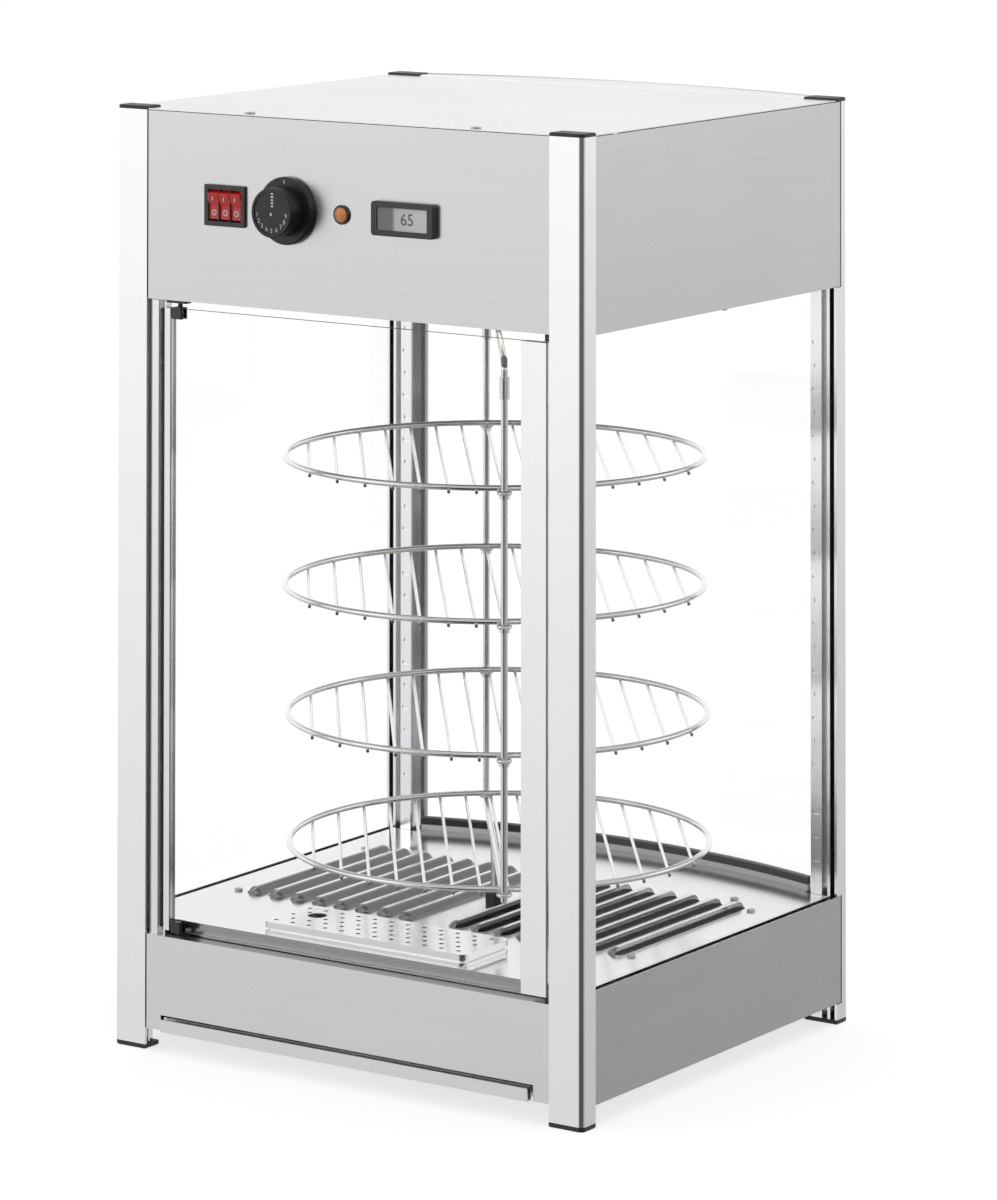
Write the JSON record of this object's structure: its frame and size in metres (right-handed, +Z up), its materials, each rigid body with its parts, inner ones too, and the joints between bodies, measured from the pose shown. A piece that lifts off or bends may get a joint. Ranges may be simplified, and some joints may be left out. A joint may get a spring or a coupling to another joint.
{
  "type": "hot food display case",
  "caption": "Glazed counter cabinet with a motor-driven carousel of round wire racks, hinged glass door, heated louvred floor and top control panel.",
  "frame": {"origin": "centre of the four corner posts' footprint, on the plane of the feet", "axes": "+X to the right seen from the door side, +Y to the back, +Z up"},
  "size_m": [0.48, 0.477, 0.802],
  "materials": {
    "aluminium_profile": "satin anodised, fine vertical draw lines",
    "brushed_panel": "brushed along the long side",
    "roof_steel": "bright, fine brushed",
    "floor_steel": "bright polished",
    "zinc_steel": "zinc plated",
    "chrome_wire": "polished",
    "clear_glass": "clear toughened",
    "black_plastic": "fine moulded grain",
    "black_gloss": "gloss moulded",
    "dark_rubber": "matt extruded",
    "brush_pile": "short dark pile",
    "red_rocker": "translucent gloss",
    "amber_lens": "translucent ribbed",
    "display_window": "clear over grey liquid crystal",
    "heater_sheath": "heat-tinted satin",
    "lamp_tube": "frosted",
    "motor_case": "satin",
    "cord_rubber": "matt",
    "copper_tube": "drawn"
  },
  "bodies": {
    "case": {"post_front_left": "aluminium_profile", "post_front_right": "aluminium_profile", "post_back_left": "aluminium_profile", "post_back_right": "aluminium_profile", "post_end_caps": "black_plastic", "roof_panel": "roof_steel", "control_fascia": "brushed_panel", "top_side_left": "brushed_panel", "top_side_right": "brushed_panel", "top_back_panel": "brushed_panel", "ceiling_plate": "zinc_steel", "base_front_panel": "brushed_panel", "base_side_left": "brushed_panel", "base_side_right": "brushed_panel", "base_back_panel": "brushed_panel", "base_bottom_plate": "zinc_steel", "floor_plate": "floor_steel", "side_glass_left": "clear_glass", "side_glass_right": "clear_glass", "back_glass": "clear_glass", "back_glass_rail": "dark_rubber", "hinge_jamb": "aluminium_profile", "brush_seal": "brush_pile", "pivot_plates": "black_gloss", "door_stops": "black_plastic", "axle_bearing": "black_plastic", "gear_motor": "motor_case", "motor_bracket": "zinc_steel", "chamber_lamp": "lamp_tube", "lamp_holders": "black_plastic", "heating_element": "heater_sheath", "heater_clips": "zinc_steel", "thermostat_body": "black_plastic", "thermostat_capillary": "copper_tube", "cord_gland": "black_plastic", "power_cord": "cord_rubber", "screws": "zinc_steel", "tray_runners": "zinc_steel", "switch_bezel": "black_plastic", "indicator_bezel": "black_gloss", "indicator_lens": "amber_lens", "thermometer_bezel": "black_plastic", "thermometer_window": "display_window"},
    "door": {"door_glass": "clear_glass", "door_grip": "aluminium_profile", "hinge_clamps": "black_gloss"},
    "carousel": {"drive_shaft": "chrome_wire", "drive_hub": "black_plastic", "carousel_frame": "chrome_wire", "rack_1": "chrome_wire", "rack_2": "chrome_wire", "rack_3": "chrome_wire", "rack_4": "chrome_wire"},
    "knob": {"thermostat_knob": "black_plastic"},
    "switch_left": {"rocker_left": "red_rocker"},
    "switch_middle": {"rocker_middle": "red_rocker"},
    "switch_right": {"rocker_right": "red_rocker"},
    "tray": {"crumb_tray": "brushed_panel"},
    "pan": {"water_pan": "floor_steel"},
    "lid": {"pan_lid": "floor_steel"}
  },
  "joints": [
    {"name": "door_swing", "type": "hinge", "parent": "case", "child": "door", "pos_m": [-0.1745, -0.205, 0.367], "axis": [0, 0, -1], "range_deg": [0, 110]},
    {"name": "carousel_spin", "type": "hinge", "parent": "case", "child": "carousel", "pos_m": [0.0065, 0.006, 0.38], "axis": [0, 0, 1], "continuous": true},
    {"name": "thermostat_turn", "type": "hinge", "parent": "case", "child": "knob", "pos_m": [-0.0573, -0.209, 0.722], "axis": [0, 1, 0], "range_deg": [0, 270]},
    {"name": "switch_left_rock", "type": "hinge", "parent": "case", "child": "switch_left", "pos_m": [-0.1348, -0.204, 0.722], "axis": [-1, 0, 0], "range_deg": [0, 20]},
    {"name": "switch_middle_rock", "type": "hinge", "parent": "case", "child": "switch_middle", "pos_m": [-0.123, -0.204, 0.722], "axis": [-1, 0, 0], "range_deg": [0, 20]},
    {"name": "switch_right_rock", "type": "hinge", "parent": "case", "child": "switch_right", "pos_m": [-0.1112, -0.204, 0.722], "axis": [-1, 0, 0], "range_deg": [0, 20]},
    {"name": "crumb_tray_slide", "type": "slide", "parent": "case", "child": "tray", "axis": [0, -1, 0], "range_m": [0, 0.32]},
    {"name": "pan_lift", "type": "slide", "parent": "case", "child": "pan", "axis": [0, 0, 1], "range_m": [0, 0.012]},
    {"name": "lid_lift", "type": "slide", "parent": "pan", "child": "lid", "axis": [0, 0, 1], "range_m": [0, 0.018]}
  ]
}
